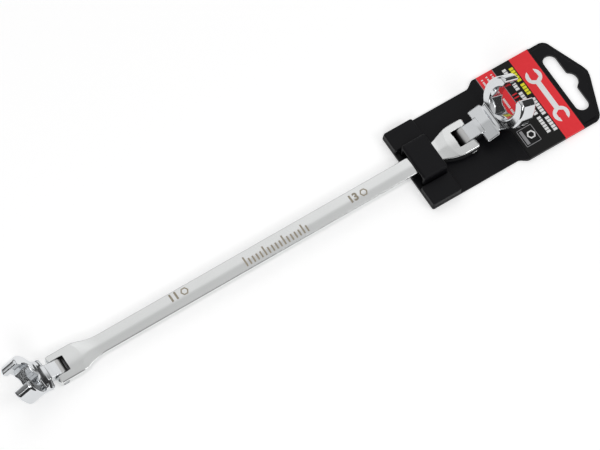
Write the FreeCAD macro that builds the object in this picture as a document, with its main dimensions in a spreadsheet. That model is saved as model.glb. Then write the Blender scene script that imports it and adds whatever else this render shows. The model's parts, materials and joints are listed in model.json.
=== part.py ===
import FreeCAD, Part
import math
import os
import Sketcher

# Double-ended flexible-head flare-nut wrench, 11 mm and 13 mm, on its plastic
# retail hanger.  Millimetres.  +X runs along the wrench towards the 13 mm head,
# +Z is up, and the origin is under the centre of the whole object's bounding box.
# The wrench is first drawn flat: x = 0 at the hanger's front edge, z = 0 in the
# middle of its thickness.  It then leans so that the 11 mm yoke touches the floor
# while the shaft lies on the raised seat of the hanger.

DIMENSIONS = {
    # wrench shaft and its two yokes
    "yoke_thickness": 7.2,
    "shaft_thickness": 5.6,
    "crown_radius": 24.0,
    "ear_corner_round": 2.4,
    "shoulder_round": 4.0,
    "flare_round": 12.0,
    "shaft_width_small_end": 8.9,
    "shaft_width_large_end": 9.4,
    # end that carries the 11 mm head
    "small_pin_x": -182.1,
    "small_yoke_width": 14.6,
    "small_yoke_length": 15.0,
    "small_ramp_length": 10.0,
    "small_flare_length": 6.27,
    "small_slot_width": 7.6,
    "small_slot_depth": 7.9,
    "small_tongue_width": 7.0,
    "small_pin_diameter": 3.0,
    "small_head_tilt": 20.0,
    "small_ring_cant": 40.0,
    "small_ring_along": 19.2,
    "small_ring_up": 3.9,
    "small_ring_diameter": 21.2,
    "small_ring_thickness": 8.4,
    "small_across_flats": 11.1,
    "small_gap": 9.0,
    "small_tip_reach": 7.6,
    "small_neck_start": 6.4,
    "small_neck_end": 11.0,
    "small_neck_width": 15.4,
    "small_neck_thickness": 4.8,
    # end that carries the 13 mm head
    "large_pin_x": 31.0,
    "large_yoke_width": 16.3,
    "large_yoke_length": 13.4,
    "large_ramp_length": 5.0,
    "large_flare_length": 5.18,
    "large_slot_width": 8.4,
    "large_slot_depth": 9.0,
    "large_tongue_width": 7.8,
    "large_pin_diameter": 3.4,
    "large_head_tilt": 17.0,
    "large_ring_cant": 43.0,
    "large_ring_along": 25.1,
    "large_ring_up": 4.2,
    "large_ring_diameter": 24.8,
    "large_ring_thickness": 9.0,
    "large_across_flats": 13.1,
    "large_gap": 10.6,
    "large_tip_reach": 8.8,
    "large_neck_start": 7.0,
    "large_neck_end": 13.6,
    "large_neck_width": 17.4,
    "large_neck_thickness": 4.4,
    # details shared by both heads
    "tongue_thickness": 6.6,
    "washer_diameter": 5.94,
    "rim_round": 1.2,
    "lead_in_depth": 0.98,
    "lead_in_reach": 0.7,
    "pin_recess": 0.25,
    "washer_thickness": 0.2,
    "running_gap": 0.05,
    # how the wrench lies on the hanger
    "seat_mid_height": 4.7,
    "floor_mid_height": 3.56,
    # hanger tray
    "deck_thickness": 1.2,
    "panel_thickness": 2.1,
    "seat_height": 1.85,
    "wing_height": 5.0,
    "wing_length": 15.5,
    "base_width": 42.0,
    "panel_width": 46.9,
    "channel_width": 20.7,
    "step_start": 45.5,
    "step_end": 51.0,
    "panel_end": 90.2,
    "roof_peak": 99.5,
    "corner_round": 4.0,
    "core_wall": 1.6,
    "panel_top_inset": 2.0,
    "peak_flat": 3.0,
    "skirt_bottom": 0.5,
    "label_fit": 0.1,
    # hang slot in the tray
    "slot_centre": 86.7,
    "slot_height": 6.8,
    "slot_length": 32.0,
    "slot_dome_radius": 4.3,
    "slot_dome_centre": 88.6,
    # clip over the shaft
    "clip_start": 2.3,
    "clip_length": 12.8,
    "clip_width": 19.8,
    "clip_wall": 1.8,
    "clip_top": 9.6,
    "clip_bottom": 0.7,
    "clip_round": 1.5,
    "clip_fit": 0.1,
    # printed label
    "label_start": 51.6,
    "label_end": 81.6,
    "label_skirt": 0.3,
    "label_thickness": 0.3,
}


# shares that shape the neck: where it ends inside the ring, and how far it tapers
INSIDE_RING = 0.3
NECK_TAPER = 0.8

# how far construction outlines run past the faces that they cut
OVERRUN = 10.0


class Size:
    """A length that carries its value and the spreadsheet expression behind it."""

    def __init__(self, value, text):
        self.value = value
        self.text = text

    def __add__(self, other):
        other = as_size(other)
        return Size(self.value + other.value, "(" + self.text + " + " + other.text + ")")

    def __sub__(self, other):
        other = as_size(other)
        return Size(self.value - other.value, "(" + self.text + " - " + other.text + ")")

    def __mul__(self, factor):
        return Size(self.value * factor, "(" + self.text + " * " + str(factor) + ")")

    def __neg__(self):
        return self * -1.0


def as_size(number):
    """Wrap a plain number so that it can take part in an expression."""
    if isinstance(number, Size):
        return number
    return Size(float(number), str(float(number)))


doc = FreeCAD.newDocument("flare_nut_wrench")
sheet = doc.addObject("Spreadsheet::Sheet", "dims")
for row, (alias, amount) in enumerate(DIMENSIONS.items(), start=1):
    sheet.set("A" + str(row), alias)
    sheet.set("B" + str(row), str(amount))
    sheet.setAlias("B" + str(row), alias)
doc.recompute()


def size(alias):
    """Look a dimension up in the spreadsheet."""
    return Size(float(sheet.get(alias)), "dims." + alias)


def bind(thing, **lengths):
    """Drive properties of a document object from the spreadsheet."""
    for name, length in lengths.items():
        thing.setExpression(name, as_size(length).text)


def add_body(label):
    """Start a sub-part."""
    body = doc.addObject("PartDesign::Body", label)
    body.Label = label
    return body


def add_sketch(body, plane, name, along=0.0, lift=0.0):
    """Attach an empty sketch to a body's origin plane, moved in X by along and in Z by lift."""
    sketch = body.newObject("Sketcher::SketchObject", name)
    support = [item for item in body.Origin.OriginFeatures if item.Role == plane][0]
    sketch.AttachmentSupport = [(support, "")]
    sketch.MapMode = "FlatFace"
    shift = {
        "XY_Plane": FreeCAD.Vector(along, 0, lift),
        "XZ_Plane": FreeCAD.Vector(along, lift, 0),
        "YZ_Plane": FreeCAD.Vector(0, lift, along),
    }[plane]
    sketch.AttachmentOffset = FreeCAD.Placement(shift, FreeCAD.Rotation())
    return sketch


def pin_down(sketch, curve, point, across, up):
    """Hold one sketch point at a spreadsheet-driven position."""
    for kind, amount in (("DistanceX", as_size(across)), ("DistanceY", as_size(up))):
        number = sketch.addConstraint(Sketcher.Constraint(kind, -1, 1, curve, point, amount.value))
        sketch.setExpression("Constraints[" + str(number) + "]", amount.text)


def draw_polygon(sketch, corners):
    """Draw a closed outline through corners given as (across, up) pairs."""
    spots = [FreeCAD.Vector(as_size(across).value, as_size(up).value, 0) for across, up in corners]
    first = sketch.GeometryCount
    for start, end in zip(spots, spots[1:] + spots[:1]):
        sketch.addGeometry(Part.LineSegment(start, end), False)
    for step, (across, up) in enumerate(corners):
        after = first + step
        before = first + (step - 1) % len(corners)
        sketch.addConstraint(Sketcher.Constraint("Coincident", before, 2, after, 1))
        pin_down(sketch, after, 1, across, up)


def draw_circle(sketch, across, up, radius):
    """Draw a circle with a driven centre and radius."""
    spot = FreeCAD.Vector(as_size(across).value, as_size(up).value, 0)
    circle = sketch.addGeometry(Part.Circle(spot, FreeCAD.Vector(0, 0, 1), radius.value), False)
    pin_down(sketch, circle, 3, across, up)
    number = sketch.addConstraint(Sketcher.Constraint("Radius", circle, radius.value))
    sketch.setExpression("Constraints[" + str(number) + "]", radius.text)


def rectangle(left, right, low, high):
    """Corners of an upright rectangle."""
    return [(left, low), (right, low), (right, high), (left, high)]


def pad(body, sketch, height, both_ways=True):
    """Raise a sketch into a solid, centred on its plane unless told otherwise."""
    solid = body.newObject("PartDesign::Pad", sketch.Name + "_pad")
    solid.Profile = sketch
    solid.Midplane = both_ways
    bind(solid, Length=height)
    sketch.Visibility = False
    doc.recompute()
    return solid


def cut_through(body, sketch):
    """Cut a sketch right through the body, to both sides of its plane."""
    cut = body.newObject("PartDesign::Pocket", sketch.Name + "_cut")
    cut.Profile = sketch
    cut.Midplane = True
    cut.Type = "ThroughAll"
    doc.recompute()
    return cut


def cut_up(body, sketch, depth):
    """Cut a sketch upwards from its plane by a driven depth."""
    cut = body.newObject("PartDesign::Pocket", sketch.Name + "_cut")
    cut.Profile = sketch
    cut.Reversed = True
    bind(cut, Length=depth)
    doc.recompute()
    return cut


def upright_edges(shape, wanted):
    """Names of the vertical edges at the wanted (x, |y|) places."""
    names = []
    for number, edge in enumerate(shape.Edges, start=1):
        middle = edge.CenterOfMass
        flat_on_z = max(abs(v.Point.x - middle.x) + abs(v.Point.y - middle.y) for v in edge.Vertexes) < 0.01
        near = any(math.hypot(middle.x - x, abs(middle.y) - y) < 0.05 for x, y in wanted)
        if flat_on_z and near:
            names.append("Edge" + str(number))
    return names


def round_edges(body, feature, names, radius):
    """Round the named edges of the newest feature."""
    fillet = body.newObject("PartDesign::Fillet", feature.Name + "_round")
    fillet.Base = (feature, names)
    bind(fillet, Radius=radius)
    doc.recompute()
    return fillet


def draw_handle_outline(body):
    """Plan view of the shaft with both yokes, before the slots are cut."""
    ear = size("yoke_thickness") * 0.5
    small_end = size("small_pin_x") - ear
    large_end = size("large_pin_x") + ear
    small_half = size("small_yoke_width") * 0.5
    large_half = size("large_yoke_width") * 0.5
    small_shaft = size("shaft_width_small_end") * 0.5
    large_shaft = size("shaft_width_large_end") * 0.5
    small_inner = small_end + size("small_yoke_length")
    large_inner = large_end - size("large_yoke_length")
    small_taper = small_inner + size("small_flare_length")
    large_taper = large_inner - size("large_flare_length")
    upper = [
        (small_end, small_half),
        (small_inner, small_half),
        (small_taper, small_shaft),
        (large_taper, large_shaft),
        (large_inner, large_half),
        (large_end, large_half),
    ]
    lower = [(across, -up) for across, up in reversed(upper)]
    sketch = add_sketch(body, "XY_Plane", "handle_outline")
    draw_polygon(sketch, upper + lower)
    return sketch, upper


def round_handle_outline(body, blank, upper):
    """Soften the corners of the plan view: ears, shoulders and hollow flares."""
    places = [(across.value, up.value) for across, up in upper]
    ears = upright_edges(blank.Shape, [places[0], places[5]])
    feature = round_edges(body, blank, ears, size("ear_corner_round"))
    shoulders = upright_edges(feature.Shape, [places[1], places[4]])
    feature = round_edges(body, feature, shoulders, size("shoulder_round"))
    flares = upright_edges(feature.Shape, [places[2], places[3]])
    return round_edges(body, feature, flares, size("flare_round"))


def ramp_curves(foot, length, side):
    """Two tangent arcs from yoke thickness at foot to shaft thickness at foot + length."""
    high = size("yoke_thickness").value / 2
    low = size("shaft_thickness").value / 2
    radius = (length ** 2 + (high - low) ** 2) / (4 * (high - low))
    lean = math.asin(abs(length) / 2 / radius) / 2
    along = math.copysign(radius * math.sin(lean), length)
    dip = radius * (1 - math.cos(lean))
    top = FreeCAD.Vector(foot, side * high, 0)
    upper = FreeCAD.Vector(foot + along, side * (high - dip), 0)
    middle = FreeCAD.Vector(foot + length / 2, side * (high + low) / 2, 0)
    lower = FreeCAD.Vector(foot + length - along, side * (low + dip), 0)
    bottom = FreeCAD.Vector(foot + length, side * low, 0)
    return top, bottom, [Part.Arc(top, upper, middle), Part.Arc(middle, lower, bottom)]


def draw_ramp_path(body, name, side):
    """Side view of the top (side = 1) or underside (side = -1) of the whole handle."""
    ear = size("yoke_thickness").value / 2
    small_foot = size("small_pin_x").value + size("small_yoke_length").value - ear
    large_foot = size("large_pin_x").value - size("large_yoke_length").value + ear
    start = FreeCAD.Vector(size("small_pin_x").value - OVERRUN, side * ear, 0)
    finish = FreeCAD.Vector(size("large_pin_x").value + OVERRUN, side * ear, 0)
    small_top, small_bottom, small_arcs = ramp_curves(small_foot, size("small_ramp_length").value, side)
    large_top, large_bottom, large_arcs = ramp_curves(large_foot, -size("large_ramp_length").value, side)
    sketch = add_sketch(body, "XZ_Plane", name)
    sketch.addGeometry(Part.LineSegment(start, small_top), False)
    for arc in small_arcs:
        sketch.addGeometry(arc, False)
    sketch.addGeometry(Part.LineSegment(small_bottom, large_bottom), False)
    for arc in reversed(large_arcs):
        sketch.addGeometry(arc, False)
    sketch.addGeometry(Part.LineSegment(large_top, finish), False)
    return sketch


def draw_crown_section(body, name, side):
    """Cross-section of the material that is removed above (or below) the crowned face."""
    start = size("small_pin_x").value - OVERRUN
    radius = size("crown_radius").value
    half = size("large_yoke_width").value
    drop = radius - math.sqrt(radius ** 2 - half ** 2)
    face = side * size("yoke_thickness").value / 2
    reach = side * size("yoke_thickness").value
    sketch = add_sketch(body, "YZ_Plane", name, along=start)
    left = FreeCAD.Vector(-half, face - side * drop, 0)
    right = FreeCAD.Vector(half, face - side * drop, 0)
    top = FreeCAD.Vector(0, face, 0)
    far_left = FreeCAD.Vector(-half, face + reach, 0)
    far_right = FreeCAD.Vector(half, face + reach, 0)
    sketch.addGeometry(Part.Arc(left, top, right), False)
    sketch.addGeometry(Part.LineSegment(right, far_right), False)
    sketch.addGeometry(Part.LineSegment(far_right, far_left), False)
    sketch.addGeometry(Part.LineSegment(far_left, left), False)
    return sketch


def crown_handle(body, side, name):
    """Sweep the crowned section along the side view to thin the shaft."""
    path = draw_ramp_path(body, name + "_path", side)
    section = draw_crown_section(body, name + "_section", side)
    sweep = body.newObject("PartDesign::SubtractivePipe", name)
    sweep.Profile = section
    sweep.Spine = path
    sweep.Mode = "Fixed"
    doc.recompute()
    return sweep


def draw_ear_end(body, end, pin_x, direction):
    """Side view of the corners that are removed to round one pair of ears."""
    radius = size("yoke_thickness").value / 2
    outside = radius + OVERRUN
    beyond = direction * outside
    sketch = add_sketch(body, "XZ_Plane", end + "_ear_ends")
    top = FreeCAD.Vector(pin_x, radius, 0)
    tip = FreeCAD.Vector(pin_x + direction * radius, 0, 0)
    bottom = FreeCAD.Vector(pin_x, -radius, 0)
    sketch.addGeometry(Part.Arc(top, tip, bottom), False)
    outer = [
        bottom,
        FreeCAD.Vector(pin_x, -outside, 0),
        FreeCAD.Vector(pin_x + beyond, -outside, 0),
        FreeCAD.Vector(pin_x + beyond, outside, 0),
        FreeCAD.Vector(pin_x, outside, 0),
        top,
    ]
    for start, finish in zip(outer, outer[1:]):
        sketch.addGeometry(Part.LineSegment(start, finish), False)
    return sketch


def cut_yoke(body, end, direction):
    """Slot, rounded ear ends and pin hole of one yoke."""
    pin_x = size(end + "_pin_x")
    ear = size("yoke_thickness") * 0.5
    tip = pin_x + ear * direction
    floor = tip - size(end + "_slot_depth") * direction
    half_slot = size(end + "_slot_width") * 0.5
    beyond = tip + ear * direction
    slot = add_sketch(body, "XY_Plane", end + "_slot")
    draw_polygon(slot, rectangle(floor, beyond, -half_slot, half_slot))
    cut_through(body, slot)
    cut_through(body, draw_ear_end(body, end, pin_x.value, direction))
    hole = add_sketch(body, "XZ_Plane", end + "_pin_hole")
    draw_circle(hole, pin_x, 0.0, size(end + "_pin_diameter") * 0.5)
    cut_through(body, hole)


def make_handle():
    """Forged shaft: crowned top and underside, a slotted yoke at each end."""
    body = add_body("handle")
    outline, upper = draw_handle_outline(body)
    blank = pad(body, outline, size("yoke_thickness"))
    round_handle_outline(body, blank, upper)
    crown_handle(body, 1, "top_crown")
    crown_handle(body, -1, "under_crown")
    cut_yoke(body, "small", -1.0)
    cut_yoke(body, "large", 1.0)
    return body


def draw_hexagon(sketch, across_flats):
    """Hexagon around the ring's centre with two corners on the head's long axis."""
    corner = across_flats * (1 / math.sqrt(3))
    side = across_flats * 0.5
    draw_polygon(sketch, [
        (corner, 0.0),
        (corner * 0.5, side),
        (corner * -0.5, side),
        (-corner, 0.0),
        (corner * -0.5, -side),
        (corner * 0.5, -side),
    ])


def add_ring_sketch(body, end, plane, name):
    """Attach a sketch to the ring's own centre, canted against the tongue."""
    sketch = add_sketch(body, plane, name)
    along = size(end + "_ring_along").value
    up = size(end + "_ring_up").value
    cant = size(end + "_ring_cant").value
    if plane == "XY_Plane":
        spot = FreeCAD.Vector(along, 0, up)
        turn = FreeCAD.Rotation(FreeCAD.Vector(0, 1, 0), -cant)
    else:
        spot = FreeCAD.Vector(along, up, 0)
        turn = FreeCAD.Rotation(FreeCAD.Vector(0, 0, 1), cant)
    sketch.AttachmentOffset = FreeCAD.Placement(spot, turn)
    return sketch


def cut_lead_in(body, end, face):
    """Conical lead-in at one face of the hexagonal bore (face = 1 top, -1 underside)."""
    corner = size(end + "_across_flats") * (1 / math.sqrt(3))
    half = size(end + "_ring_thickness") * (0.5 * face)
    depth = size("lead_in_depth") * face
    reach = size("lead_in_reach")
    name = end + ("_lead_in_top" if face > 0 else "_lead_in_under")
    sketch = add_ring_sketch(body, end, "XZ_Plane", name)
    draw_polygon(sketch, [
        (0.0, half + depth),
        (corner + reach, half + depth),
        (corner - reach, half - depth),
        (0.0, half - depth),
    ])
    cone = body.newObject("PartDesign::Groove", name + "_cut")
    cone.Profile = sketch
    cone.ReferenceAxis = (sketch, ["V_Axis"])
    cone.Angle = 360.0
    doc.recompute()
    return cone


def make_ring(body, end):
    """Round disc that becomes the head's open ring."""
    ring = add_ring_sketch(body, end, "XY_Plane", end + "_ring")
    draw_circle(ring, 0.0, 0.0, size(end + "_ring_diameter") * 0.5)
    disc = pad(body, ring, size(end + "_ring_thickness"))
    rims = ["Edge" + str(number) for number, edge in enumerate(disc.Shape.Edges, start=1)
            if isinstance(edge.Curve, Part.Circle)]
    return round_edges(body, disc, rims, size("rim_round"))


def make_neck(body, end):
    """Neck block and tongue, with the barrel that turns on the hinge pin."""
    half_tongue = size("tongue_thickness") * 0.5
    half_neck = size(end + "_neck_width") * 0.5
    half_height = size(end + "_neck_thickness") * 0.5
    start = size(end + "_neck_start")
    finish = size(end + "_neck_end")
    inside_ring = size(end + "_ring_along") - size(end + "_ring_diameter") * INSIDE_RING
    joint = start + size("running_gap")
    neck = add_sketch(body, "XY_Plane", end + "_neck")
    draw_polygon(neck, [
        (start, -half_neck),
        (finish, -half_neck),
        (inside_ring, -half_neck * NECK_TAPER),
        (inside_ring, half_neck * NECK_TAPER),
        (finish, half_neck),
        (start, half_neck),
    ])
    pad(body, neck, size(end + "_neck_thickness"))
    barrel = add_sketch(body, "XZ_Plane", end + "_barrel")
    draw_circle(barrel, 0.0, 0.0, half_tongue)
    pad(body, barrel, size(end + "_tongue_width"))
    tongue = add_sketch(body, "XZ_Plane", end + "_tongue")
    draw_polygon(tongue, [
        (0.0, -half_tongue),
        (joint, -half_height),
        (joint, half_height),
        (0.0, half_tongue),
    ])
    pad(body, tongue, size(end + "_tongue_width"))


def make_head(end, label):
    """One flare-nut head: tongue, neck block and open hexagonal ring."""
    body = add_body(label)
    make_ring(body, end)
    make_neck(body, end)
    bore = add_ring_sketch(body, end, "XY_Plane", end + "_hexagon")
    draw_hexagon(bore, size(end + "_across_flats"))
    cut_through(body, bore)
    cut_lead_in(body, end, 1)
    cut_lead_in(body, end, -1)
    radius = size(end + "_ring_diameter") * 0.5
    half_gap = size(end + "_gap") * 0.5
    gap = add_ring_sketch(body, end, "XY_Plane", end + "_gap")
    draw_polygon(gap, rectangle(0.0, radius + OVERRUN, -half_gap, half_gap))
    cut_through(body, gap)
    tip = size(end + "_tip_reach")
    tips = add_ring_sketch(body, end, "XY_Plane", end + "_tips")
    draw_polygon(tips, rectangle(tip, tip + radius, -radius, radius))
    cut_through(body, tips)
    eye = add_sketch(body, "XZ_Plane", end + "_eye")
    draw_circle(eye, 0.0, 0.0, size(end + "_pin_diameter") * 0.5 + size("running_gap"))
    cut_through(body, eye)
    return body


def make_pin(end, label):
    """Hinge pin with bevelled ends, set just below the outer faces of the ears."""
    length = size(end + "_yoke_width") - size("pin_recess") * 2.0
    rod = doc.addObject("Part::Cylinder", label + "_rod")
    bind(rod, Radius=size(end + "_pin_diameter") * 0.5, Height=length)
    doc.recompute()
    pin = doc.addObject("Part::Chamfer", label)
    pin.Base = rod
    rims = [number for number, edge in enumerate(rod.Shape.Edges, start=1)
            if isinstance(edge.Curve, Part.Circle)]
    bevel = size("pin_recess").value
    pin.Edges = [(number, bevel, bevel) for number in rims]
    pin.Label = label
    return pin, length.value / 2


def make_washer(end, label):
    """Thin friction washer around the pin."""
    bore = size(end + "_pin_diameter") * 0.5 + size("running_gap")
    outer = doc.addObject("Part::Cylinder", label + "_outer")
    inner = doc.addObject("Part::Cylinder", label + "_inner")
    bind(outer, Radius=size("washer_diameter") * 0.5, Height=size("washer_thickness"))
    bind(inner, Radius=bore, Height=size("washer_thickness"))
    washer = doc.addObject("Part::Cut", label)
    washer.Base = outer
    washer.Tool = inner
    washer.Label = label
    return washer


def draw_tray_outline(body):
    """Plan view of the hanger: narrow seat end, wider label panel, roof-shaped top."""
    base = size("base_width") * 0.5
    panel = size("panel_width") * 0.5
    right = [
        (0.0, -base),
        (size("step_start"), -base),
        (size("step_end"), -panel),
        (size("panel_end"), -panel),
    ]
    left = [(across, -up) for across, up in reversed(right)]
    sketch = add_sketch(body, "XY_Plane", "tray_outline")
    draw_polygon(sketch, right + [(size("roof_peak"), 0.0)] + left)
    rounded = right[1:] + [(size("roof_peak"), as_size(0.0))]
    return sketch, [(across.value, abs(up.value)) for across, up in rounded]


def pad_up(body, sketch, height):
    """Raise a sketch upwards from its plane."""
    return pad(body, sketch, height, both_ways=False)


def cut_hang_slot(body):
    """Rounded slot with a dome that lets the hanger hang level."""
    radius = size("slot_height") * 0.5
    centre = size("slot_centre")
    end = size("slot_length") * 0.5 - radius
    bar = add_sketch(body, "XY_Plane", "slot_bar")
    draw_polygon(bar, rectangle(centre - radius, centre + radius, -end, end))
    cut_through(body, bar)
    for name, across, up, round_by in (
        ("slot_end_left", centre, end, radius),
        ("slot_end_right", centre, -end, radius),
        ("slot_dome", size("slot_dome_centre"), 0.0, size("slot_dome_radius")),
    ):
        sketch = add_sketch(body, "XY_Plane", name)
        draw_circle(sketch, across, up, round_by)
        cut_through(body, sketch)


def raise_panel(body):
    """Raised panel that carries the label and surrounds the hang slot."""
    half = size("panel_width") * 0.5
    inset = size("panel_top_inset")
    flat = size("peak_flat") * 0.5
    panel = add_sketch(body, "XY_Plane", "panel")
    draw_polygon(panel, [
        (size("step_end"), -half),
        (size("label_end"), -half),
        (size("label_end"), inset - half),
        (size("panel_end") - inset, inset - half),
        (size("roof_peak") - inset, -flat),
        (size("roof_peak") - inset, flat),
        (size("panel_end") - inset, half - inset),
        (size("label_end"), half - inset),
        (size("label_end"), half),
        (size("step_end"), half),
    ])
    pad_up(body, panel, size("panel_thickness"))


def raise_seat_and_wings(body):
    """Seat under the shaft, and a hollow wing to each side of it."""
    channel = size("channel_width") * 0.5
    base = size("base_width") * 0.5
    seat = add_sketch(body, "XY_Plane", "seat")
    draw_polygon(seat, rectangle(0.0, size("wing_length"), -channel, channel))
    pad_up(body, seat, size("seat_height"))
    for side, low, high in (("left", channel, base), ("right", -base, -channel)):
        wing = add_sketch(body, "XY_Plane", side + "_wing")
        draw_polygon(wing, rectangle(0.0, size("wing_length"), low, high))
        pad_up(body, wing, size("wing_height"))
    wall = size("core_wall")
    for side, low, high in (("left", channel + wall, base - wall), ("right", wall - base, -channel - wall)):
        core = add_sketch(body, "XY_Plane", side + "_core")
        draw_polygon(core, rectangle(wall, size("wing_length") - wall, low, high))
        cut_up(body, core, size("wing_height") - wall)


def cut_down(body, name, level, depth, outline):
    """Cut an outline downwards from a level by a driven depth."""
    sketch = add_sketch(body, "XY_Plane", name, lift=level.value)
    draw_polygon(sketch, outline)
    cut = body.newObject("PartDesign::Pocket", name + "_cut")
    cut.Profile = sketch
    bind(cut, Length=depth)
    doc.recompute()


def cut_leg_pockets(body):
    """Two pockets in the seat that the clip's legs stand in."""
    fit = size("clip_fit")
    outside = size("clip_width") * 0.5 + fit
    inside = outside - size("clip_wall") - fit * 2.0
    start = size("clip_start") - fit
    finish = size("clip_start") + size("clip_length") + fit
    depth = size("seat_height") - size("clip_bottom") + fit
    for side, low, high in (("left", inside, outside), ("right", -outside, -inside)):
        cut_down(body, side + "_leg_pocket", size("seat_height"), depth, rectangle(start, finish, low, high))


def cut_label_recess(body):
    """Recess for the label across the panel's top and down both long edges."""
    fit = size("label_fit")
    half = size("panel_width") * 0.5
    start = size("label_start") - fit
    finish = size("label_end") + fit
    top = size("panel_thickness")
    cut_down(body, "label_recess", top, size("label_thickness"), rectangle(start, finish, -half, half))
    inner = half - size("label_skirt") - fit
    depth = top - size("skirt_bottom") + fit
    for side, low, high in (("left", inner, half), ("right", -half, -inner)):
        cut_down(body, side + "_skirt_recess", top, depth, rectangle(start, finish, low, high))


def make_tray():
    """Hanger tray: deck, raised label panel, shaft seat between two hollow wings."""
    body = add_body("hanger_tray")
    outline, corners = draw_tray_outline(body)
    deck = pad_up(body, outline, size("deck_thickness"))
    round_edges(body, deck, upright_edges(deck.Shape, corners), size("corner_round"))
    raise_panel(body)
    raise_seat_and_wings(body)
    cut_leg_pockets(body)
    cut_hang_slot(body)
    cut_label_recess(body)
    return body


def make_clip():
    """U-shaped clip that bridges the shaft and stands in the seat's two leg pockets."""
    height = size("clip_top") - size("clip_bottom")
    span = size("clip_width") - size("clip_wall") * 2.0
    outer = doc.addObject("Part::Box", "clip_outer")
    bind(outer, Length=size("clip_length"), Width=size("clip_width"), Height=height)
    inner = doc.addObject("Part::Box", "clip_inner")
    bind(inner, Length=size("clip_length"), Width=span, Height=height - size("clip_wall"))
    doc.recompute()
    edges = []
    for number, edge in enumerate(outer.Shape.Edges, start=1):
        middle = edge.CenterOfMass
        if abs(middle.z - height.value) < 0.01:
            edges.append((number, size("clip_round").value, size("clip_round").value))
    rounded = doc.addObject("Part::Fillet", "clip_rounded")
    rounded.Base = outer
    rounded.Edges = edges
    inner.Placement = FreeCAD.Placement(FreeCAD.Vector(0, size("clip_wall").value, 0), FreeCAD.Rotation())
    clip = doc.addObject("Part::Cut", "hanger_clip")
    clip.Base = rounded
    clip.Tool = inner
    clip.Label = "hanger_clip"
    return clip


def make_label():
    """Printed film over the panel's top, folded down over both long edges."""
    length = size("label_end") - size("label_start")
    height = size("panel_thickness") - size("skirt_bottom")
    span = size("panel_width") - size("label_skirt") * 2.0
    fold = doc.addObject("Part::Box", "label_fold")
    bind(fold, Length=length, Width=size("panel_width"), Height=height)
    under = doc.addObject("Part::Box", "label_under")
    bind(under, Length=length, Width=span, Height=height - size("label_thickness"))
    under.Placement = FreeCAD.Placement(FreeCAD.Vector(0, size("label_skirt").value, 0), FreeCAD.Rotation())
    label = doc.addObject("Part::Cut", "hanger_label")
    label.Base = fold
    label.Tool = under
    label.Label = "hanger_label"
    return label


def wrench_lean():
    """Placement that leans the flat-drawn wrench onto floor and hanger seat."""
    rise = size("seat_mid_height").value - size("floor_mid_height").value
    angle = math.degrees(math.atan(rise / -size("small_pin_x").value))
    base = FreeCAD.Vector(0, 0, size("seat_mid_height").value)
    return FreeCAD.Placement(base, FreeCAD.Rotation(FreeCAD.Vector(0, 1, 0), -angle))


def at_pin(end, turn):
    """Placement at a hinge pin with a rotation."""
    return FreeCAD.Placement(FreeCAD.Vector(size(end + "_pin_x").value, 0, 0), turn)


def across_wrench(shift):
    """Placement that lays a cylinder along Y, starting at Y = shift."""
    return FreeCAD.Placement(FreeCAD.Vector(0, shift, 0), FreeCAD.Rotation(FreeCAD.Vector(1, 0, 0), -90))


def upright_at(along, across, up):
    """Placement that moves a piece without turning it."""
    return FreeCAD.Placement(FreeCAD.Vector(along.value, across.value, up.value), FreeCAD.Rotation())


def assemble_hanger():
    """Make the hanger's pieces and put them in their places."""
    tray = make_tray()
    clip = make_clip()
    clip.Placement = upright_at(size("clip_start"), size("clip_width") * -0.5, size("clip_bottom"))
    label = make_label()
    label.Placement = upright_at(size("label_start"), size("panel_width") * -0.5, size("skirt_bottom"))
    return [tray, clip, label]


def assemble_joint(end, number, half_turn):
    """Make one head with its pin and washers, and put them at their end of the shaft."""
    lean = wrench_lean()
    upright = FreeCAD.Rotation()
    facing = FreeCAD.Rotation(FreeCAD.Vector(0, 0, 1), half_turn)
    raised = FreeCAD.Rotation(FreeCAD.Vector(0, 1, 0), -size(end + "_head_tilt").value)
    head = make_head(end, "head_" + number)
    head.Placement = lean.multiply(at_pin(end, facing.multiply(raised)))
    pin, half_length = make_pin(end, "pin_" + number)
    pin.Placement = lean.multiply(at_pin(end, upright)).multiply(across_wrench(-half_length))
    pieces = [head, pin]
    near = size(end + "_tongue_width").value / 2 + size("running_gap").value
    far = near + size("washer_thickness").value
    for side, shift in (("left", near), ("right", -far)):
        washer = make_washer(end, "washer_" + number + "_" + side)
        washer.Placement = lean.multiply(at_pin(end, upright)).multiply(across_wrench(shift))
        pieces.append(washer)
    return pieces


def assemble():
    """Make every sub-part and put it in its place."""
    handle = make_handle()
    handle.Placement = wrench_lean()
    pieces = [handle] + assemble_hanger()
    pieces += assemble_joint("small", "11", 180.0)
    pieces += assemble_joint("large", "13", 0.0)
    doc.recompute()
    return pieces


def centre_over_origin(pieces):
    """Shift all pieces so that the origin lies under the centre of their bounding box."""
    bounds = FreeCAD.BoundBox()
    for piece in pieces:
        bounds.add(piece.Shape.optimalBoundingBox(False))
    shift = FreeCAD.Vector(-bounds.Center.x, -bounds.Center.y, -bounds.ZMin)
    for piece in pieces:
        piece.Placement = FreeCAD.Placement(shift, FreeCAD.Rotation()).multiply(piece.Placement)
    doc.recompute()


def export(pieces):
    """Check every object and write one STEP file per sub-part."""
    for thing in doc.Objects:
        if "Invalid" in thing.State or "Error" in thing.State:
            raise RuntimeError(thing.Name + " did not compute")
    os.makedirs("parts", exist_ok=True)
    for piece in pieces:
        if piece.Shape.isNull() or not piece.Shape.isValid():
            raise RuntimeError(piece.Label + " has no valid shape")
        piece.Shape.exportStep("parts/" + piece.Label + ".step")


parts_made = assemble()
centre_over_origin(parts_made)
export(parts_made)
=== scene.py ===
import json
import math

import bmesh
import bpy
import numpy as np
from mathutils import Matrix, Vector


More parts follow.
